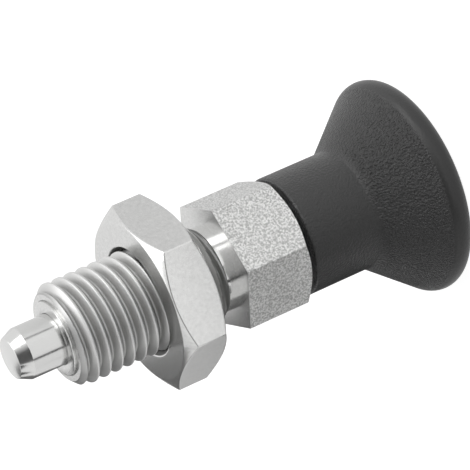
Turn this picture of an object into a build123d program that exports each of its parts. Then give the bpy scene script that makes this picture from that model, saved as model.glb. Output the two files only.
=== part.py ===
from build123d import *
import math
import os

# Indexing plunger: a threaded steel guide sleeve with a hexagon, a sprung locating pin that
# runs through it, a pull knob pressed on the pin's tail, and a locknut on the thread.
# Millimetres. +Z runs along the pin towards its tip, and z = 0 is the knob's flat back face.

# ---------------------------------------------------------------- driving dimensions

# Guide sleeve: M12 x 1.5 right-hand thread, hexagon and relief groove
thread_diameter = 12.0
thread_pitch = 1.5
thread_length = 17.8  # nose to the last full crest
stem_length = 20.3  # nose to the hexagon's front face
runout_length = 1.3  # the last thread fades into the relief over this length
relief_depth = 1.0  # below the crests
hex_across_flats = 14.0
hex_length = 8.3
hex_corner_chamfer = 1.13  # radial cut at the back corners

# Knob
knob_diameter = 25.6
knob_height = 17.55
knob_rim_radius = 1.6
knob_flank_angle = 51.0  # between the flat back and the flank
knob_collar_diameter = 14.2
knob_gap = 0.6  # running gap to the hexagon, pin out
knob_seat_depth = 12.0  # length of shank held in the knob

# Locating pin
pin_diameter = 6.0
pin_reach = 5.8  # tip beyond the sleeve's nose, at rest
pin_tip_diameter = 4.66
pin_chamfer_length = 1.45
pin_stroke = 6.0
shank_diameter = 4.0
shoulder_thickness = 1.6
shoulder_clearance = 0.1  # shoulder to spring chamber, each side
stop_clearance = 0.05  # left at the stop when the pin is fully back

# Front bush, pressed into the nose
bush_diameter = 8.7
bush_length = 4.35
bush_stand_out = 0.35
bush_edge_chamfer = 0.15

# Guides
front_guide_clearance = 0.03  # pin in bush, each side
rear_guide_clearance = 0.04  # shank in sleeve, each side
rear_guide_length = 5.5

# Compression spring
wire_diameter = 0.75
spring_mean_diameter = 6.2
spring_turns = 5
spring_outer_clearance = 0.525  # coil to chamber wall, each side
spring_inner_clearance = 0.225  # coil to the pin's pilot, each side

# Locknut
nut_across_flats = 19.0
nut_thickness = 5.45
nut_setback = 10.35  # nose to the nut's front face
nut_thread_clearance = 0.05
nut_face_chamfer = 1.67  # radial cut at the corners, both faces
nut_countersink = 0.45
nut_turn = 33.7  # degrees from the sleeve's hexagon

corner_chamfer_angle = 30.0  # turned chamfers on both hexagons, from the face

# ---------------------------------------------------------------- worked-out sizes

knob_front = knob_height
hex_back = knob_front + knob_gap
hex_front = hex_back + hex_length
nose = hex_front + stem_length

thread_radius = thread_diameter / 2
thread_root_radius = thread_radius - 0.6134 * thread_pitch
relief_radius = thread_radius - relief_depth
last_crest = nose - thread_length

bush_seat_floor = nose + bush_stand_out - bush_length
chamber_radius = spring_mean_diameter / 2 + wire_diameter / 2 + spring_outer_clearance
chamber_floor = hex_back + rear_guide_length
rear_guide_radius = shank_diameter / 2 + rear_guide_clearance

pin_tip = nose + pin_reach
shoulder_radius = chamber_radius - shoulder_clearance
shoulder_back = bush_seat_floor - shoulder_thickness
pilot_radius = spring_mean_diameter / 2 - wire_diameter / 2 - spring_inner_clearance
pilot_end = chamber_floor + pin_stroke + stop_clearance
shank_end = knob_front - knob_seat_depth

nut_front = nose - nut_setback
nut_back = nut_front - nut_thickness

chamfer_slope = math.tan(math.radians(corner_chamfer_angle))


def hexagon_corner_radius(across_flats):
    return across_flats / 2 / math.cos(math.pi / 6)


# ---------------------------------------------------------------- guide sleeve
# Turned from hexagon bar: stem, hexagon and, from the front, the bush's seat, the spring
# chamber and the rear guide.

hex_corner = hexagon_corner_radius(hex_across_flats)
hex_face_radius = hex_corner - hex_corner_chamfer

with BuildPart() as guide_sleeve:
    with BuildSketch(Plane.XZ) as stem_section:
        with BuildLine():
            Polyline(
                (0, hex_back),
                (relief_radius, hex_back),
                (relief_radius, last_crest - runout_length),
                (thread_radius, last_crest),
                (thread_radius, nose - (thread_radius - thread_root_radius)),
                (thread_root_radius, nose),
                (0, nose),
                close=True,
            )
        make_face()
    revolve(axis=Axis.Z)

    with BuildSketch(Plane.XY.offset(hex_back)):
        RegularPolygon(hex_across_flats / 2, 6, major_radius=False)
    extrude(amount=hex_length)

    with BuildSketch(Plane.XZ):
        with BuildLine():
            Polyline(
                (hex_face_radius, hex_back),
                (hex_corner, hex_back),
                (hex_corner, hex_back + hex_corner_chamfer * chamfer_slope),
                close=True,
            )
        make_face()
    revolve(axis=Axis.Z, mode=Mode.SUBTRACT)

    with Locations((0, 0, nose)):
        Hole(bush_diameter / 2, depth=nose - bush_seat_floor)
        Hole(chamber_radius, depth=nose - chamber_floor)
        Hole(rear_guide_radius, depth=nose - hex_back)

guide_sleeve.part.label = "guide_sleeve"

# ---------------------------------------------------------------- guide bush
# Pressed into the nose: it guides the pin, and its inner face stops the pin's shoulder.

with BuildPart() as guide_bush:
    with BuildSketch(Plane.XY.offset(bush_seat_floor)):
        Circle(bush_diameter / 2)
        Circle(pin_diameter / 2 + front_guide_clearance, mode=Mode.SUBTRACT)
    extrude(amount=bush_length)
    front_edges = guide_bush.edges().group_by(Axis.Z)[-1]
    chamfer(front_edges.sort_by(SortBy.RADIUS)[-1], bush_edge_chamfer)

guide_bush.part.label = "guide_bush"

# ---------------------------------------------------------------- locating pin
# One turned piece: chamfered tip, guided front, shoulder that the spring pushes, pilot inside
# the spring, and a thin shank that runs back into the knob.

with BuildPart() as locating_pin:
    with BuildSketch(Plane.XZ):
        with BuildLine():
            Polyline(
                (0, shank_end),
                (shank_diameter / 2, shank_end),
                (shank_diameter / 2, pilot_end),
                (pilot_radius, pilot_end),
                (pilot_radius, shoulder_back),
                (shoulder_radius, shoulder_back),
                (shoulder_radius, bush_seat_floor),
                (pin_diameter / 2, bush_seat_floor),
                (pin_diameter / 2, pin_tip - pin_chamfer_length),
                (pin_tip_diameter / 2, pin_tip),
                (0, pin_tip),
                close=True,
            )
        make_face()
    revolve(axis=Axis.Z)

locating_pin.part.label = "locating_pin"

# ---------------------------------------------------------------- compression spring
# One even coil between the chamber's floor and the pin's shoulder, both ends ground flat. The
# wire's round section is drawn as a hexagon of the same area.

spring_length = shoulder_back - chamber_floor
wire_sides = 6
wire_area = math.pi * wire_diameter**2 / 4
wire_corner_radius = math.sqrt(2 * wire_area / (wire_sides * math.sin(2 * math.pi / wire_sides)))

with BuildPart() as compression_spring:
    with BuildLine() as coil:
        Helix(
            pitch=spring_length / spring_turns,
            height=spring_length,
            radius=spring_mean_diameter / 2,
            center=(0, 0, chamber_floor),
        )
    with BuildSketch(Plane(origin=coil.line @ 0, x_dir=(1, 0, 0), z_dir=coil.line % 0)):
        RegularPolygon(wire_corner_radius, wire_sides)
    sweep(path=coil.line, is_frenet=True)
    split(bisect_by=Plane.XY.offset(chamber_floor), keep=Keep.TOP)
    split(bisect_by=Plane.XY.offset(shoulder_back), keep=Keep.BOTTOM)

compression_spring.part.label = "compression_spring"

# ---------------------------------------------------------------- pull knob
# Moulded in one piece: flat back, rounded rim, conical flank for the fingers to pull on, and a
# collar with the blind hole that the shank is pressed into.

flank_angle = math.radians(knob_flank_angle)
rim_centre_radius = knob_diameter / 2 - knob_rim_radius
flank_foot_radius = rim_centre_radius + knob_rim_radius / math.tan(flank_angle / 2)
neck_z = (flank_foot_radius - knob_collar_diameter / 2) * math.tan(flank_angle)

# The rim's round in four flats, turned from the back face up to the flank: a true round would
# take more facets than the rest of the knob
rim_turns = [0, 30, 60, 90, 180 - knob_flank_angle]
rim_points = [
    (
        rim_centre_radius + knob_rim_radius * math.sin(math.radians(turn)),
        knob_rim_radius - knob_rim_radius * math.cos(math.radians(turn)),
    )
    for turn in rim_turns
]

with BuildPart() as pull_knob:
    with BuildSketch(Plane.XZ):
        with BuildLine():
            Polyline(
                (0, 0),
                *rim_points,
                (knob_collar_diameter / 2, neck_z),
                (knob_collar_diameter / 2, knob_front),
                (0, knob_front),
                close=True,
            )
        make_face()
    revolve(axis=Axis.Z)
    with Locations((0, 0, knob_front)):
        Hole(shank_diameter / 2, depth=knob_seat_depth)

pull_knob.part.label = "pull_knob"

# ---------------------------------------------------------------- locknut
# Hexagon nut chamfered on both faces. Its bore clears the thread's crests.

nut_corner = hexagon_corner_radius(nut_across_flats)
nut_face_radius = nut_corner - nut_face_chamfer
nut_chamfer_height = nut_face_chamfer * chamfer_slope

with BuildPart() as locknut:
    with BuildSketch(Plane.XY.offset(nut_back)):
        RegularPolygon(nut_across_flats / 2, 6, major_radius=False, rotation=nut_turn)
    extrude(amount=nut_thickness)
    with BuildSketch(Plane.XZ):
        with BuildLine():
            Polyline(
                (0, nut_back),
                (nut_face_radius, nut_back),
                (nut_corner, nut_back + nut_chamfer_height),
                (nut_corner, nut_front - nut_chamfer_height),
                (nut_face_radius, nut_front),
                (0, nut_front),
                close=True,
            )
        make_face()
    revolve(axis=Axis.Z, mode=Mode.INTERSECT)
    with Locations((0, 0, nut_front)):
        Hole(thread_radius + nut_thread_clearance)
    bore_edges = locknut.edges().filter_by(GeomType.CIRCLE).filter_by(
        lambda edge: abs(edge.radius - thread_radius - nut_thread_clearance) < 1e-6
    )
    chamfer(bore_edges, nut_countersink)

locknut.part.label = "locknut"

# ---------------------------------------------------------------- export

os.makedirs("parts", exist_ok=True)
for piece in (guide_sleeve, guide_bush, locating_pin, compression_spring, pull_knob, locknut):
    export_step(piece.part, f"parts/{piece.part.label}.step")
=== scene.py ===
"""Indexing plunger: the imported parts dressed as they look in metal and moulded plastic."""

import math

import bmesh
import bpy
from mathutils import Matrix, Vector


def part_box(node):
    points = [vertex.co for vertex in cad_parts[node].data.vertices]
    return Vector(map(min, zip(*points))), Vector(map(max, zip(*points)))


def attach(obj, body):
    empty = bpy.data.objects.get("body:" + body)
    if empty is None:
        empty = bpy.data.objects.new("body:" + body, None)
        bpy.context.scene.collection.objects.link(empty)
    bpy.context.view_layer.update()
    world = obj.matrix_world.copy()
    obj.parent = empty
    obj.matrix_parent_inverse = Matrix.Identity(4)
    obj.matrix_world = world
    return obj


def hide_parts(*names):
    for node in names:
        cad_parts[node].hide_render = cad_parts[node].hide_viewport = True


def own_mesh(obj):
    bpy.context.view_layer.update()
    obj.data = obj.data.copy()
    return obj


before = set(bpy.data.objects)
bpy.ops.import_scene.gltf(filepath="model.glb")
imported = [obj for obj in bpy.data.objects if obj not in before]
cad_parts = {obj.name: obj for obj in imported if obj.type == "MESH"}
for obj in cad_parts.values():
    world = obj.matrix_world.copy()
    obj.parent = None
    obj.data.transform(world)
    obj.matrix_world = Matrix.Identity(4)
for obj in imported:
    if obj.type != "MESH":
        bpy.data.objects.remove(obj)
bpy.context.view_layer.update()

# ------------------------------------------------------------------ guide sleeve
# Stainless steel turned from drawn hexagon bar. The stem carries a cut M12 x 1.5 right-hand
# thread with a chamfered nose and a relief groove, and the bore is stepped for bush, spring
# and shank. The hexagon keeps the bar's own grainy skin.

MM = 0.001  # sizes below are in millimetres
TURN_STEPS = 192
SMOOTH_BELOW = math.radians(25)
WELD = 0.0005  # vertices nearer than this are one
ON_EDGE = 0.001  # how near a corner or ring of vertices is looked for

sleeve_low, sleeve_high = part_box("guide_sleeve")
bush_low, bush_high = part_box("guide_bush")
pin_low, pin_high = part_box("locating_pin")
spring_low, spring_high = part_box("compression_spring")

nose = sleeve_high[2] / MM
hex_back = sleeve_low[2] / MM
hex_corner = sleeve_high[0] / MM
hex_length = 8.3
hex_front = hex_back + hex_length
hex_edge_rounding = 0.12
hex_face_rounding = 0.08
hex_chamfer = 1.13
chamfer_slope = math.tan(math.radians(30))

pitch = 1.5
crest_radius = 6.0
root_radius = 5.08
crest_width = pitch / 8
thread_half_angle = math.radians(30)
flank_width = (crest_radius - root_radius) * math.tan(thread_half_angle)
crest_height_on_x = 43.66  # one crest's height where the thread crosses +X
crest_rounding = 0.035
root_rounding = 0.09
relief_radius = 5.0
last_crest = nose - 17.8
relief_top = last_crest - 1.3

bush_radius = bush_high[0] / MM
chamber_radius = 4.0
chamber_floor = spring_low[2] / MM
shank_hole_radius = 2.04
seat_mouth_chamfer = 0.1
beyond = 0.5  # cutting outlines reach this far past the metal


def draw_outline(name, points):
    """Starts a mesh and extrudes one vertex through (radius, height) points on the XZ plane."""
    bpy.ops.object.select_all(action="DESELECT")
    bpy.ops.mesh.primitive_plane_add(size=MM)
    bpy.context.object.name = name
    bpy.context.object.data.name = name
    bpy.ops.object.mode_set(mode="EDIT")
    bpy.ops.mesh.select_mode(type="VERT")
    bpy.ops.mesh.select_all(action="SELECT")
    bpy.ops.mesh.merge(type="CENTER")
    bpy.ops.transform.translate(value=(points[0][0] * MM, 0, points[0][1] * MM))
    extrude_through(points[0], points[1:])
    return bpy.context.object


def extrude_through(here, points):
    """In edit mode, extrudes the selected vertex, which is at here, from point to point."""
    for there in points:
        move = ((there[0] - here[0]) * MM, 0, (there[1] - here[1]) * MM)
        bpy.ops.mesh.extrude_region_move(TRANSFORM_OT_translate={"value": move})
        here = there


def select_where(kind, test):
    """In edit mode, selects what has its middle where test(radius, height) says, in mm."""
    bpy.ops.mesh.select_mode(type=kind)
    bpy.ops.mesh.select_all(action="DESELECT")
    mesh = bpy.context.object.data
    work = bmesh.from_edit_mesh(mesh)
    for item in {"VERT": work.verts, "EDGE": work.edges, "FACE": work.faces}[kind]:
        corners = [item] if kind == "VERT" else item.verts
        middle = sum((v.co for v in corners), Vector((0, 0, 0))) / len(corners) / MM
        item.select_set(bool(test(middle.xy.length, middle.z)))
    work.select_flush_mode()
    bmesh.update_edit_mesh(mesh)


def round_corner(radius, height, size, segments=3):
    """In edit mode, rounds the outline's corner at that place."""
    select_where("VERT", lambda r, z: math.hypot(r - radius, z - height) < ON_EDGE)
    bpy.ops.mesh.bevel(offset=size * MM, segments=segments, affect="VERTICES")


def turn():
    """Spins the outline round Z and closes it into a solid."""
    bpy.ops.mesh.select_all(action="SELECT")
    bpy.ops.mesh.spin(steps=TURN_STEPS, angle=math.tau, center=(0, 0, 0), axis=(0, 0, 1))
    tidy_mesh()
    bpy.ops.object.mode_set(mode="OBJECT")


def tidy_mesh():
    """In edit mode, welds the mesh and turns its faces outward."""
    bpy.ops.mesh.select_all(action="SELECT")
    bpy.ops.mesh.remove_doubles(threshold=WELD * MM)
    bpy.ops.mesh.dissolve_degenerate(threshold=WELD * MM)
    bpy.ops.mesh.normals_make_consistent(inside=False)


def use_modifier(piece, kind, **settings):
    """Adds a modifier, sets it and applies it."""
    bpy.ops.object.select_all(action="DESELECT")
    piece.select_set(True)
    bpy.context.view_layer.objects.active = piece
    bpy.ops.object.modifier_add(type=kind)
    modifier = piece.modifiers[-1]
    for name, value in settings.items():
        setattr(modifier, name, value)
    bpy.ops.object.modifier_apply(modifier=modifier.name)


def combine(piece, tool, operation):
    """Joins, cuts or trims a piece with another mesh, which is used up."""
    use_modifier(piece, "BOOLEAN", operation=operation, object=tool, solver="EXACT")
    bpy.data.objects.remove(tool)


def hexagon(name, corner, low, high, turned_by, rounding):
    """A hexagonal bar with its long edges slightly rounded."""
    bpy.ops.object.select_all(action="DESELECT")
    bpy.ops.mesh.primitive_cylinder_add(
        vertices=6,
        radius=corner * MM,
        depth=(high - low) * MM,
        location=(0, 0, (low + high) / 2 * MM),
        rotation=(0, 0, math.radians(30 + turned_by)),
    )
    bar = bpy.context.object
    bar.name = name
    bpy.ops.object.transform_apply(location=True, rotation=True, scale=True)
    bpy.ops.object.mode_set(mode="EDIT")
    select_where("EDGE", lambda r, z: r > 0.95 * corner)
    bpy.ops.mesh.bevel(offset=rounding * MM, segments=3, affect="EDGES")
    bpy.ops.object.mode_set(mode="OBJECT")
    return bar


def round_edges(piece, width):
    """Rounds every sharp edge of a piece a little."""
    use_modifier(
        piece,
        "BEVEL",
        width=width * MM,
        segments=3,
        limit_method="ANGLE",
        angle_limit=math.radians(20),
    )


# Stem: one pitch of the thread's section, wound up the stem and trimmed to its outline. The
# flanks are cut into short steps so that the trimmed thread fades out smoothly
first_crest = crest_height_on_x - pitch * math.ceil((crest_height_on_x - relief_top) / pitch + 1)
turns = math.ceil((nose - first_crest) / pitch) + 2
stem = draw_outline(
    "guide_sleeve_in_steel",
    [
        (root_radius, first_crest - pitch / 2),
        (root_radius, first_crest - crest_width / 2 - flank_width),
        (crest_radius, first_crest - crest_width / 2),
        (crest_radius, first_crest + crest_width / 2),
        (root_radius, first_crest + crest_width / 2 + flank_width),
        (root_radius, first_crest + pitch / 2),
    ],
)
for side in (-1, 1):
    round_corner(crest_radius, first_crest + side * crest_width / 2, crest_rounding, 2)
    round_corner(
        root_radius, first_crest + side * (crest_width / 2 + flank_width), root_rounding, 2
    )
clear_of_rounding = 0.2
select_where(
    "EDGE", lambda r, z: root_radius + clear_of_rounding < r < crest_radius - clear_of_rounding
)
bpy.ops.mesh.subdivide(number_cuts=7)
bpy.ops.object.mode_set(mode="OBJECT")
use_modifier(
    stem,
    "SCREW",
    axis="Z",
    angle=math.tau,
    screw_offset=pitch * MM,
    iterations=turns,
    steps=TURN_STEPS,
    render_steps=TURN_STEPS,
    use_merge_vertices=True,
    merge_threshold=WELD * MM,
)


def stem_outline(height):
    """The stem's largest radius at a height: nose chamfer, full thread, then run-out."""
    if height > last_crest:
        return min(crest_radius, root_radius + nose - height)
    runout = (height - relief_top) / (last_crest - relief_top)
    return relief_radius + runout * (crest_radius - relief_radius)


for vertex in stem.data.vertices:
    height = min(max(vertex.co.z / MM, relief_top), nose)
    radius = vertex.co.xy.length / MM
    scale = min(radius, stem_outline(height)) / radius
    vertex.co = (vertex.co.x * scale, vertex.co.y * scale, height * MM)

bpy.ops.object.mode_set(mode="EDIT")
tidy_mesh()
select_where("VERT", lambda r, z: abs(z - relief_top) < ON_EDGE)
sunk_in_hexagon = 1.0
down_to_hexagon = (0, 0, (hex_front - sunk_in_hexagon - relief_top) * MM)
bpy.ops.mesh.extrude_edges_move(TRANSFORM_OT_translate={"value": down_to_hexagon})
bpy.ops.mesh.select_all(action="SELECT")
bpy.ops.mesh.fill_holes(sides=0)
bpy.ops.mesh.select_all(action="SELECT")
bpy.ops.mesh.normals_make_consistent(inside=False)
bpy.ops.object.mode_set(mode="OBJECT")

# Hexagon, with the corners of its back face turned off
sleeve_hexagon = hexagon("hexagon", hex_corner, hex_back, hex_front, 0, hex_edge_rounding)
hex_face_radius = hex_corner - hex_chamfer
envelope = draw_outline(
    "envelope",
    [
        (0, hex_back - beyond),
        (hex_face_radius - beyond / chamfer_slope, hex_back - beyond),
        (hex_corner + beyond, hex_back + (hex_chamfer + beyond) * chamfer_slope),
        (hex_corner + beyond, hex_front + beyond),
        (0, hex_front + beyond),
    ],
)
turn()
combine(sleeve_hexagon, envelope, "INTERSECT")
round_edges(sleeve_hexagon, hex_face_rounding)
combine(stem, sleeve_hexagon, "UNION")

# Stepped bore
bore = draw_outline(
    "bore",
    [
        (0, hex_back - beyond),
        (shank_hole_radius, hex_back - beyond),
        (shank_hole_radius, chamber_floor),
        (chamber_radius, chamber_floor),
        (chamber_radius, bush_low[2] / MM),
        (bush_radius, bush_low[2] / MM),
        (bush_radius, nose - seat_mouth_chamfer),
        (bush_radius + seat_mouth_chamfer + beyond, nose + beyond),
        (0, nose + beyond),
    ],
)
turn()
combine(stem, bore, "DIFFERENCE")


def linear(hex_code):
    """An sRGB hex colour as linear RGBA."""
    channels = [int(hex_code[i : i + 2], 16) / 255 for i in (1, 3, 5)]
    return (
        *(c / 12.92 if c <= 0.04045 else ((c + 0.055) / 1.055) ** 2.4 for c in channels),
        1,
    )


def add(material, kind, settings=None, **inputs):
    """Adds a node, sets its properties, and sets or links its inputs by name or number."""
    tree = material.node_tree
    node = tree.nodes.new(kind)
    for name, value in (settings or {}).items():
        setattr(node, name, value)
    for name, value in inputs.items():
        socket = node.inputs[int(name[1:]) if name[0] == "_" else name.replace("_", " ")]
        if isinstance(value, bpy.types.NodeSocket):
            tree.links.new(value, socket)
        else:
            socket.default_value = value
    return node


def new_material(name):
    """A material with an empty node tree."""
    material = bpy.data.materials.new(name)
    material.use_nodes = True
    material.node_tree.nodes.clear()
    return material


def finish_piece(piece, body, node, slot, *materials):
    """Rides, replaces, shades and gives the piece its materials. Its slot is not used."""
    bpy.ops.object.select_all(action="DESELECT")
    piece.select_set(True)
    bpy.context.view_layer.objects.active = piece
    bpy.ops.object.shade_smooth_by_angle(angle=SMOOTH_BELOW)
    use_modifier(piece, "WEIGHTED_NORMAL", keep_sharp=True)
    piece.data.materials.clear()
    for material in materials:
        piece.data.materials.append(material)
    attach(piece, body)
    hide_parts(node)


# Turned stainless: bright, with the tool's feed marks round the axis, drawn about 0.1 mm apart
# so that they show
turned_steel = new_material("turned_stainless_steel")
place = add(turned_steel, "ShaderNodeTexCoord").outputs["Object"]
feed_marks = add(
    turned_steel,
    "ShaderNodeTexNoise",
    Vector=add(turned_steel, "ShaderNodeMapping", Vector=place, Scale=(150, 150, 9000)).outputs[0],
    Scale=1.0,
    Detail=2.0,
)
marks_bump = add(
    turned_steel,
    "ShaderNodeBump",
    Strength=0.15,
    Distance=0.01 * MM,
    Height=feed_marks.outputs["Fac"],
)
mottle = add(
    turned_steel, "ShaderNodeTexNoise", Vector=place, Scale=1 / (0.3 * MM), Detail=3.0
)
mottled_tint = add(
    turned_steel,
    "ShaderNodeMix",
    {"data_type": "RGBA"},
    _0=mottle.outputs["Fac"],
    _6=linear("#c4c4c3"),
    _7=linear("#dededd"),
)
turned_surface = add(
    turned_steel,
    "ShaderNodeBsdfPrincipled",
    Base_Color=mottled_tint.outputs[2],
    Metallic=1.0,
    Roughness=0.25,
    Normal=marks_bump.outputs[0],
)
add(turned_steel, "ShaderNodeOutputMaterial", Surface=turned_surface.outputs[0])

# Cut thread: duller than the turned faces, with painted shade that darkens it from its crests down
# into its roots
cut_thread = new_material("cut_thread_stainless_steel")
place = add(cut_thread, "ShaderNodeTexCoord").outputs["Object"]
axis_distance = add(
    cut_thread,
    "ShaderNodeVectorMath",
    {"operation": "LENGTH"},
    _0=add(
        cut_thread, "ShaderNodeVectorMath", {"operation": "MULTIPLY"}, _0=place, _1=(1, 1, 0)
    ).outputs[0],
)
up_the_flank = add(
    cut_thread,
    "ShaderNodeMapRange",
    Value=axis_distance.outputs["Value"],
    _1=root_radius * MM,
    _2=crest_radius * MM,
)
# Painted shade: the colour darkens with radius from the crests into the thread roots
root_shade_tint = add(cut_thread, "ShaderNodeValToRGB", Fac=up_the_flank.outputs[0])
for number, (position, shade) in enumerate(
    ((0.04, "#aeaead"), (0.2, "#bebebd"), (0.7, "#cececd"), (0.97, "#d6d6d5"))
):
    if number < 2:
        stop = root_shade_tint.color_ramp.elements[number]
        stop.position = position
    else:
        stop = root_shade_tint.color_ramp.elements.new(position)
    stop.color = linear(shade)
thread_surface = add(
    cut_thread,
    "ShaderNodeBsdfPrincipled",
    Base_Color=root_shade_tint.outputs[0],
    Metallic=1.0,
    Roughness=0.42,
)
add(cut_thread, "ShaderNodeOutputMaterial", Surface=thread_surface.outputs[0])

# Drawn bar skin: pickled and grainy. The grain is drawn about 0.2 mm across, so that it shows
# as light and dark specks
bar_skin = new_material("drawn_bar_stainless_steel")
place = add(bar_skin, "ShaderNodeTexCoord").outputs["Object"]
grain = add(
    bar_skin,
    "ShaderNodeTexNoise",
    Vector=place,
    Scale=1 / (0.22 * MM),
    Detail=2.0,
    Roughness=0.6,
).outputs["Fac"]
specks = add(bar_skin, "ShaderNodeMapRange", Value=grain, _1=0.4, _2=0.6)
speck_tint = add(
    bar_skin,
    "ShaderNodeMix",
    {"data_type": "RGBA"},
    _0=specks.outputs[0],
    _6=linear("#b0b0af"),
    _7=linear("#eaeae9"),
)
grain_bump = add(bar_skin, "ShaderNodeBump", Strength=0.6, Distance=0.05 * MM, Height=grain)
bar_surface = add(
    bar_skin,
    "ShaderNodeBsdfPrincipled",
    Base_Color=speck_tint.outputs[2],
    Metallic=1.0,
    Roughness=0.4,
    Normal=grain_bump.outputs[0],
)
add(bar_skin, "ShaderNodeOutputMaterial", Surface=bar_surface.outputs[0])

# Faced shoulder: coarse turning marks that blur what it mirrors
faced_steel = new_material("faced_stainless_steel")
faced_surface = add(
    faced_steel,
    "ShaderNodeBsdfPrincipled",
    Base_Color=linear("#d1d1d0"),
    Metallic=1.0,
    Roughness=0.3,
)
add(faced_steel, "ShaderNodeOutputMaterial", Surface=faced_surface.outputs[0])

# Run-out groove: left torn and dull where the threading stops, and coloured darker as painted shade
grooved_steel = new_material("grooved_stainless_steel")
grooved_surface = add(
    grooved_steel,
    "ShaderNodeBsdfPrincipled",
    Base_Color=linear("#9a9a99"),
    Metallic=1.0,
    Roughness=0.4,
)
add(grooved_steel, "ShaderNodeOutputMaterial", Surface=grooved_surface.outputs[0])

# Relief: burnished by the tool, so it mirrors its surroundings sharply; its lighter colour is painted
# light
burnished_steel = new_material("burnished_stainless_steel")
burnished_surface = add(
    burnished_steel,
    "ShaderNodeBsdfPrincipled",
    Base_Color=linear("#e4e4e3"),
    Metallic=1.0,
    Roughness=0.14,
)
add(burnished_steel, "ShaderNodeOutputMaterial", Surface=burnished_surface.outputs[0])

finish_piece(
    stem,
    "sleeve",
    "guide_sleeve",
    "sleeve_steel",
    turned_steel,
    bar_skin,
    cut_thread,
    faced_steel,
    grooved_steel,
    burnished_steel,
)
skin_margin = 0.5  # how far inside the turned corners the bar's flats still count as skin
steepest_skin = 0.3
relief_margin = 0.02
shoulder_margin = 0.1
on_shoulder = 0.01
for face in stem.data.polygons:
    radius, height = (face.center / MM).xy.length, face.center.z / MM
    outside_hexagon = height < hex_front - ON_EDGE and radius > hex_face_radius - skin_margin
    if outside_hexagon and abs(face.normal.z) < steepest_skin:
        face.material_index = 1
    elif radius > relief_radius + relief_margin and last_crest < height < nose + root_radius - radius:
        face.material_index = 2
    elif radius > relief_radius + relief_margin and relief_top < height <= last_crest:
        face.material_index = 4
    elif abs(height - hex_front) < on_shoulder and radius > relief_radius + shoulder_margin:
        face.material_index = 3
    elif hex_front < height < relief_top and abs(radius - relief_radius) < relief_margin:
        face.material_index = 5

# ------------------------------------------------------------------ guide bush
# Turned steel ring pressed into the nose. Its rounded edges catch the light round the pin.

bush_bore_radius = 3.03
bush_rim_rounding = 0.15
bush_bore_rounding = 0.06
bush_face = bush_high[2] / MM
bush_back = bush_low[2] / MM
bush = draw_outline(
    "guide_bush_in_steel",
    [
        (bush_bore_radius, bush_back),
        (bush_radius, bush_back),
        (bush_radius, bush_face),
        (bush_bore_radius, bush_face),
        (bush_bore_radius, bush_back),
    ],
)
round_corner(bush_radius, bush_face, bush_rim_rounding)
round_corner(bush_bore_radius, bush_face, bush_bore_rounding)
turn()
finish_piece(bush, "sleeve", "guide_bush", "bush_steel", turned_steel)

# ------------------------------------------------------------------ locating pin
# Hardened stainless pin, ground smooth. Shoulder, pilot and shank behind it are hidden in the
# sleeve and run back into the knob.

pin_radius = 3.0
pin_tip = pin_high[2] / MM
pin_tail = pin_low[2] / MM
tip_radius = 2.33
tip_chamfer_length = 1.45
tip_rounding = 0.06
shoulder_radius = pin_high[0] / MM
shoulder_back = spring_high[2] / MM
pilot_radius = 2.5
stroke = 6.0
stop_clearance = 0.05
pilot_end = chamber_floor + stroke + stop_clearance
shank_radius = 2.0
pin = draw_outline(
    "locating_pin_in_steel",
    [
        (0, pin_tail),
        (shank_radius, pin_tail),
        (shank_radius, pilot_end),
        (pilot_radius, pilot_end),
        (pilot_radius, shoulder_back),
        (shoulder_radius, shoulder_back),
        (shoulder_radius, bush_back),
        (pin_radius, bush_back),
        (pin_radius, pin_tip - tip_chamfer_length),
        (tip_radius, pin_tip),
        (0, pin_tip),
    ],
)
round_corner(pin_radius, pin_tip - tip_chamfer_length, tip_rounding)
round_corner(tip_radius, pin_tip, tip_rounding)
turn()

# Ground stainless: smooth and sharp in what it mirrors. Its faint grinding rings are drawn
# about 0.07 mm apart, coarser than real ones, so that they blur it a little
ground_steel = new_material("ground_stainless_steel")
place = add(ground_steel, "ShaderNodeTexCoord").outputs["Object"]
grinding = add(
    ground_steel,
    "ShaderNodeTexNoise",
    Vector=add(ground_steel, "ShaderNodeMapping", Vector=place, Scale=(200, 200, 14000)).outputs[0],
    Scale=1.0,
)
grinding_bump = add(
    ground_steel, "ShaderNodeBump", Strength=0.1, Distance=0.01 * MM, Height=grinding.outputs["Fac"]
)
ground_surface = add(
    ground_steel,
    "ShaderNodeBsdfPrincipled",
    Base_Color=linear("#d6d6d5"),
    Metallic=1.0,
    Roughness=0.17,
    Normal=grinding_bump.outputs[0],
)
add(ground_steel, "ShaderNodeOutputMaterial", Surface=ground_surface.outputs[0])
finish_piece(pin, "plunger", "locating_pin", "pin_steel", ground_steel)

# ------------------------------------------------------------------ compression spring
# Stainless spring wire coiled right-hand, with both ends ground flat. It sits between the
# chamber's floor and the pin's shoulder, out of sight.

wire_radius = 0.375
coil_radius = 3.1
coils = 5
coil_pitch = (shoulder_back - chamber_floor) / coils
WIRE_SIDES = 12
COIL_STEPS = 48

bpy.ops.object.select_all(action="DESELECT")
bpy.ops.mesh.primitive_circle_add(
    vertices=WIRE_SIDES,
    radius=wire_radius * MM,
    location=(coil_radius * MM, 0, chamber_floor * MM),
    rotation=(math.radians(90), 0, 0),
)
spring = bpy.context.object
spring.name = "compression_spring_wire"
bpy.ops.object.transform_apply(location=True, rotation=True, scale=True)
use_modifier(
    spring,
    "SCREW",
    axis="Z",
    angle=math.tau,
    screw_offset=coil_pitch * MM,
    iterations=coils,
    steps=COIL_STEPS,
    render_steps=COIL_STEPS,
)
bpy.ops.object.mode_set(mode="EDIT")
for height, direction in ((chamber_floor, -1), (shoulder_back, 1)):
    bpy.ops.mesh.select_all(action="SELECT")
    bpy.ops.mesh.bisect(
        plane_co=(0, 0, height * MM),
        plane_no=(0, 0, direction),
        use_fill=False,
        clear_outer=True,
    )
bpy.ops.mesh.select_all(action="SELECT")
bpy.ops.mesh.fill_holes(sides=0)
tidy_mesh()
bpy.ops.object.mode_set(mode="OBJECT")

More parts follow.
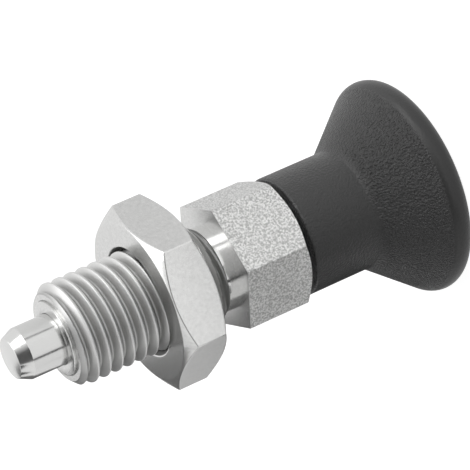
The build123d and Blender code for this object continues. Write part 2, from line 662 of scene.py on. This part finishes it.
# Drawn spring wire: duller than the turned steel, with patches where the die dragged
spring_steel = new_material("drawn_spring_wire")
place = add(spring_steel, "ShaderNodeTexCoord").outputs["Object"]
drag_marks = add(spring_steel, "ShaderNodeTexNoise", Vector=place, Scale=1 / (0.15 * MM), Detail=2.0)
wire_surface = add(
    spring_steel,
    "ShaderNodeBsdfPrincipled",
    Base_Color=linear("#b9b8b5"),
    Metallic=1.0,
    Roughness=add(
        spring_steel, "ShaderNodeMapRange", Value=drag_marks.outputs["Fac"], _3=0.25, _4=0.4
    ).outputs[0],
)
add(spring_steel, "ShaderNodeOutputMaterial", Surface=wire_surface.outputs[0])
finish_piece(spring, "spring", "compression_spring", "spring_steel", spring_steel)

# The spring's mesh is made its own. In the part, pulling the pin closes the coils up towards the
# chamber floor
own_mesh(spring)

# ------------------------------------------------------------------ pull knob
# Black polyamide, moulded in one piece. The flank has a fine spark-eroded grain for grip, and
# the collar and the rounded rim are smoother.

knob_low, knob_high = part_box("pull_knob")
knob_radius = min(*knob_high[:2], *(-side for side in knob_low[:2])) / MM
knob_front = knob_high[2] / MM
rim_radius = 1.6
flank_angle = 51
collar_radius = 7.1
neck_rounding = 0.12
collar_edge_rounding = 0.3
rim_centre = knob_radius - rim_radius
flank_foot = rim_centre + rim_radius / math.tan(math.radians(flank_angle / 2))
neck = (flank_foot - collar_radius) * math.tan(math.radians(flank_angle))
flank_tilt = math.radians(90 - flank_angle)
flank_top = (rim_centre + rim_radius * math.cos(flank_tilt), rim_radius * (1 + math.sin(flank_tilt)))

knob = draw_outline("pull_knob_in_polyamide", [(0, 0), (rim_centre, 0)])
bpy.ops.mesh.spin(
    steps=24,
    angle=math.radians(180 - flank_angle),
    center=(rim_centre * MM, 0, rim_radius * MM),
    axis=(0, 1, 0),
)
extrude_through(
    flank_top,
    [
        (collar_radius, neck),
        (collar_radius, knob_front),
        (shank_radius, knob_front),
        (shank_radius, pin_tail),
        (0, pin_tail),
    ],
)
round_corner(collar_radius, neck, neck_rounding, 2)
round_corner(collar_radius, knob_front, collar_edge_rounding, 4)
turn()

# Moulded polyamide: near black and half matt. Its grain is drawn about 0.25 mm across, so that
# it shows on the flank, and is weaker on the collar and the rim
polyamide = new_material("moulded_black_polyamide")
place = add(polyamide, "ShaderNodeTexCoord").outputs["Object"]
grain = add(
    polyamide, "ShaderNodeTexNoise", Vector=place, Scale=1 / (0.25 * MM), Detail=1.0, Roughness=0.5
)
axis_distance = add(
    polyamide,
    "ShaderNodeVectorMath",
    {"operation": "LENGTH"},
    _0=add(
        polyamide, "ShaderNodeVectorMath", {"operation": "MULTIPLY"}, _0=place, _1=(1, 1, 0)
    ).outputs[0],
).outputs["Value"]
onto_flank = add(
    polyamide,
    "ShaderNodeMapRange",
    Value=axis_distance,
    _1=collar_radius * MM,
    _2=(collar_radius + 0.7) * MM,
    _3=0.4,
    _4=1.0,
)
off_flank = add(
    polyamide,
    "ShaderNodeMapRange",
    Value=axis_distance,
    _1=(flank_top[0] - 0.2) * MM,
    _2=flank_top[0] * MM,
    _3=1.0,
    _4=0.1,
)
grain_depth = add(
    polyamide,
    "ShaderNodeMath",
    {"operation": "MULTIPLY"},
    _0=onto_flank.outputs[0],
    _1=off_flank.outputs[0],
)
grain_bump = add(
    polyamide,
    "ShaderNodeBump",
    Strength=grain_depth.outputs[0],
    Distance=0.38 * MM,
    Height=grain.outputs["Fac"],
)
# Painted light: the collar is coloured lighter than the flank
collar_painted_light_tint = add(
    polyamide,
    "ShaderNodeMix",
    {"data_type": "RGBA"},
    _0=add(
        polyamide,
        "ShaderNodeMapRange",
        Value=axis_distance,
        _1=collar_radius * MM,
        _2=(collar_radius + 0.3) * MM,
    ).outputs[0],
    _6=linear("#3a3a3a"),
    _7=linear("#323232"),
)
polyamide_surface = add(
    polyamide,
    "ShaderNodeBsdfPrincipled",
    Base_Color=collar_painted_light_tint.outputs[2],
    IOR=1.47,
    Roughness=0.38,
    Normal=grain_bump.outputs[0],
)
add(polyamide, "ShaderNodeOutputMaterial", Surface=polyamide_surface.outputs[0])
finish_piece(knob, "plunger", "pull_knob", "knob_plastic", polyamide)

# ------------------------------------------------------------------ locknut
# Thin hexagon nut in stainless steel, turned and chamfered on both faces from bright-drawn bar.
# Its tapped bore clears the stem's crests.

nut_low, nut_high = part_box("locknut")
nut_back = nut_low[2] / MM
nut_front = nut_high[2] / MM
nut_across_flats = 19
nut_corner = nut_across_flats / 2 / math.cos(math.radians(30))
nut_turned_by = 33.7
nut_chamfer = 1.67
nut_bore_radius = 6.05
nut_countersink = 0.45
nut_edge_rounding = 0.15
nut_face_rounding = 0.1
nut_face_radius = nut_corner - nut_chamfer
nut = hexagon(
    "locknut_in_steel", nut_corner, nut_back, nut_front, nut_turned_by, nut_edge_rounding
)
envelope = draw_outline(
    "envelope",
    [
        (nut_bore_radius, nut_back + nut_countersink),
        (nut_bore_radius + nut_countersink, nut_back),
        (nut_face_radius, nut_back),
        (nut_corner + beyond, nut_back + (nut_chamfer + beyond) * chamfer_slope),
        (nut_corner + beyond, nut_front - (nut_chamfer + beyond) * chamfer_slope),
        (nut_face_radius, nut_front),
        (nut_bore_radius + nut_countersink, nut_front),
        (nut_bore_radius, nut_front - nut_countersink),
        (nut_bore_radius, nut_back + nut_countersink),
    ],
)
turn()
combine(nut, envelope, "INTERSECT")
round_edges(nut, nut_face_rounding)

# Bright-drawn bar: the nut's six flats keep its skin, lighter and smoother than a turned face
bright_skin = new_material("bright_drawn_stainless_steel")
place = add(bright_skin, "ShaderNodeTexCoord").outputs["Object"]
mottle = add(
    bright_skin, "ShaderNodeTexNoise", Vector=place, Scale=1 / (0.4 * MM), Detail=3.0
)
skin_tint = add(
    bright_skin,
    "ShaderNodeMix",
    {"data_type": "RGBA"},
    _0=mottle.outputs["Fac"],
    _6=linear("#d6d6d5"),
    _7=linear("#f0f0ef"),
)
skin_surface = add(
    bright_skin,
    "ShaderNodeBsdfPrincipled",
    Base_Color=skin_tint.outputs[2],
    Metallic=1.0,
    Roughness=0.27,
)
add(bright_skin, "ShaderNodeOutputMaterial", Surface=skin_surface.outputs[0])

# Tapped thread, drawn plain: dull, with its dark colour painted shade for the little light that
# reaches it round the stem
tapped_thread = new_material("tapped_thread_stainless_steel")
tapped_surface = add(
    tapped_thread,
    "ShaderNodeBsdfPrincipled",
    Base_Color=linear("#6c6c6b"),
    Metallic=1.0,
    Roughness=0.4,
)
add(tapped_thread, "ShaderNodeOutputMaterial", Surface=tapped_surface.outputs[0])
finish_piece(
    nut, "locknut", "locknut", "nut_steel", turned_steel, tapped_thread, bright_skin
)
countersink_margin = 0.05
steepest_flat = 0.05
for face in nut.data.polygons:
    radius = (face.center / MM).xy.length
    if radius < nut_bore_radius + nut_countersink - countersink_margin:
        face.material_index = 1
    elif abs(face.normal.z) < steepest_flat:
        face.material_index = 2

# ------------------------------------------------------------------ studio
# Pale floor that shows white to the camera and in the metal, and keeps the part's shadow.

bpy.ops.object.select_all(action="DESELECT")
bpy.ops.mesh.primitive_plane_add(size=4, location=(0, 0, -0.02 * MM))
floor = bpy.context.object
floor.name = "floor"


def ray_is_seen(shader_owner):
    """1 for rays that the camera, a reflection or a clear material sends out, else 0."""
    rays = add(shader_owner, "ShaderNodeLightPath")
    mirrored = add(
        shader_owner,
        "ShaderNodeMath",
        {"operation": "MAXIMUM"},
        _0=rays.outputs["Is Glossy Ray"],
        _1=rays.outputs["Is Transmission Ray"],
    )
    return add(
        shader_owner,
        "ShaderNodeMath",
        {"operation": "MAXIMUM"},
        _0=rays.outputs["Is Camera Ray"],
        _1=mirrored.outputs[0],
    ).outputs[0]


# Floor paint: a mid grey to soft light, so that it throws little back, and raised towards white
# for the rays that the camera or a reflection sends, which keeps the part's shadow
floor_paint = new_material("matt_white_floor_paint")
paint = add(floor_paint, "ShaderNodeBsdfDiffuse", Color=linear("#969696"))
to_camera = add(floor_paint, "ShaderNodeLightPath").outputs["Is Camera Ray"]
for_camera = add(
    floor_paint, "ShaderNodeMath", {"operation": "MULTIPLY"}, _0=to_camera, _1=0.2
)
glow_strength = add(
    floor_paint,
    "ShaderNodeMath",
    {"operation": "MULTIPLY_ADD"},
    _0=ray_is_seen(floor_paint),
    _1=0.75,
    _2=for_camera.outputs[0],
)
glow = add(floor_paint, "ShaderNodeEmission", Strength=glow_strength.outputs[0])
both = add(floor_paint, "ShaderNodeAddShader", _0=paint.outputs[0], _1=glow.outputs[0])
add(floor_paint, "ShaderNodeOutputMaterial", Surface=both.outputs[0])
floor.data.materials.append(floor_paint)

world = bpy.data.worlds.new("studio")
bpy.context.scene.world = world
world.use_nodes = True
world.node_tree.nodes.clear()
seen_white = add(world, "ShaderNodeBackground", Color=(1, 1, 1, 1), Strength=1.0)
room_light = add(world, "ShaderNodeBackground", Color=(1, 1, 1, 1), Strength=0.2)
both = add(
    world,
    "ShaderNodeMixShader",
    _0=ray_is_seen(world),
    _1=room_light.outputs[0],
    _2=seen_white.outputs[0],
)
add(world, "ShaderNodeOutputWorld", Surface=both.outputs[0])

part_middle = Vector((0, 0, 30 * MM))
camera_azimuth = 13.6


def towards(azimuth, elevation):
    """A unit vector, its azimuth in degrees from the camera's and its elevation in degrees."""
    turned, raised = math.radians(camera_azimuth + azimuth), math.radians(elevation)
    return Vector(
        (
            math.cos(turned) * math.cos(raised),
            math.sin(turned) * math.cos(raised),
            math.sin(raised),
        )
    )


def placed(azimuth, elevation, distance, across=0, up=0):
    """Where a panel facing the part stands, and its turn: across and up shift it, in mm."""
    aim = towards(azimuth, elevation)
    turn_to_part = aim.to_track_quat("Z", "Y")
    middle = aim * distance + turn_to_part @ Vector((across, up, 0))
    return part_middle + middle * MM, turn_to_part.to_euler()


def standing(azimuth, distance, aside, height, lean=0):
    """The same for a panel standing upright; aside shifts it and lean tilts it leftwards."""
    turned = math.radians(camera_azimuth + azimuth)
    location = (
        (distance * math.cos(turned) - aside * math.sin(turned)) * MM,
        (distance * math.sin(turned) + aside * math.cos(turned)) * MM,
        height * MM,
    )
    return location, (math.radians(90), math.radians(lean), turned + math.radians(90))


def lying(azimuth, distance, height=0.5):
    """The same for a panel lying on the floor, its X pointing away from the part."""
    turned = math.radians(camera_azimuth + azimuth)
    location = (distance * math.cos(turned) * MM, distance * math.sin(turned) * MM, height * MM)
    return location, (0, 0, turned)


def lamp(name, location, rotation, size, radiance, mirrored=True):
    """A soft rectangular lamp, sizes in mm; metal may be kept from mirroring it."""
    bpy.ops.object.light_add(type="AREA", location=location, rotation=rotation)
    light = bpy.context.object
    light.name = name
    light.data.shape = "RECTANGLE"
    light.data.size = size[0] * MM
    light.data.size_y = size[1] * MM
    light.data.energy = radiance * math.pi * size[0] * size[1] * MM**2
    light.visible_glossy = mirrored


def card(name, location, rotation, size, shade, far_shade=None, blend=None):
    """A matt card seen only in reflections. It may fade to far_shade over blend, in mm of X."""
    bpy.ops.mesh.primitive_plane_add(size=1, location=location, rotation=rotation)
    board = bpy.context.object
    board.name = name
    bpy.ops.object.mode_set(mode="EDIT")
    bpy.ops.transform.resize(value=(size[0] * MM, size[1] * MM, 1), orient_type="LOCAL")
    bpy.ops.object.mode_set(mode="OBJECT")
    for kind in ("camera", "diffuse", "shadow", "transmission"):
        setattr(board, "visible_" + kind, False)
    paper = new_material(name + "_paper")
    tone = linear(shade)
    if far_shade:
        place = add(paper, "ShaderNodeTexCoord").outputs["Object"]
        across = add(paper, "ShaderNodeSeparateXYZ", Vector=place).outputs["X"]
        share = add(
            paper, "ShaderNodeMapRange", Value=across, _1=blend[0] * MM, _2=blend[1] * MM
        )
        tone = add(
            paper,
            "ShaderNodeMix",
            {"data_type": "RGBA"},
            _0=share.outputs[0],
            _6=linear(shade),
            _7=linear(far_shade),
        ).outputs[2]
    glow = add(paper, "ShaderNodeEmission", Color=tone)
    add(paper, "ShaderNodeOutputMaterial", Surface=glow.outputs[0])
    board.data.materials.append(paper)


# Lamps: a large soft one on the right that metal doesn't mirror, and two more that it does
lamp("top_lamp", *placed(78, 28, 500, -207, 20), (642, 570), 2.0, mirrored=False)
lamp("back_lamp", *placed(135, 62, 500), (300, 300), 1.4)
lamp("tall_lamp", *standing(58, 400, 60, 570, 10), (290, 850), 2.2)

# Cards: grey and white boards that stand and lie round the part, each for the flat, chamfer or
# side of the metal that mirrors it
card(
    "card_by_camera",
    *placed(0, 34, 450, 0, 130),
    (862, 420),
    "#606060",
    "#ffffff",
    (10, 250),
)
card("card_on_floor", *lying(-42, 50), (24, 85), "#303030")
card("card_low_side", *lying(-125, 62, 0.3), (75, 170), "#bcbcbc")
card("card_nut_low_side", *lying(-139, 99, 0.5), (50, 60), "#b4b4b4")
card("card_low_right", *lying(110, 95, 0.3), (130, 220), "#ececec")
card("card_nut_side", *lying(100, 99, 0.6), (60, 70), "#d4d4d4")
card("card_low_behind", *lying(-160, 70, 0.4), (110, 52), "#303030")
card("card_in_front", *lying(-2, 140), (122, 130), "#ffffff")
card("card_near", *standing(-12, 60, 0, 71), (51, 18), "#505050")
card("card_behind", *standing(180, 120, 69.5, 163), (125, 134), "#707070")
card("card_close_behind", *standing(180, 40, 33, 44), (54, 28), "#707070")
card("card_left", *standing(-80, 450, 0, 395), (300, 180), "#202020")
card("card_far_left", *standing(-118, 450, 0, 225), (250, 130), "#202020")
card("strip_left", *standing(-43.5, 45, 0, 30), (6.5, 60), "#303030")
card("strip_right", *standing(48.5, 45, 0, 30), (6, 60), "#a8a8a8")

camera_place = (297.7635, 74.5190, 154.6595)
camera_turn = (-43.17903, 57.19621, -34.54820)
bpy.ops.object.camera_add(
    location=Vector(camera_place) * MM,
    rotation=[math.radians(angle) for angle in camera_turn],
)
camera = bpy.context.object
camera.name = "camera"
camera.data.lens = 230.0447
camera.data.sensor_width = 36
camera.data.clip_start = 0.01
bpy.context.scene.camera = camera
bpy.context.scene.view_settings.view_transform = "Standard"
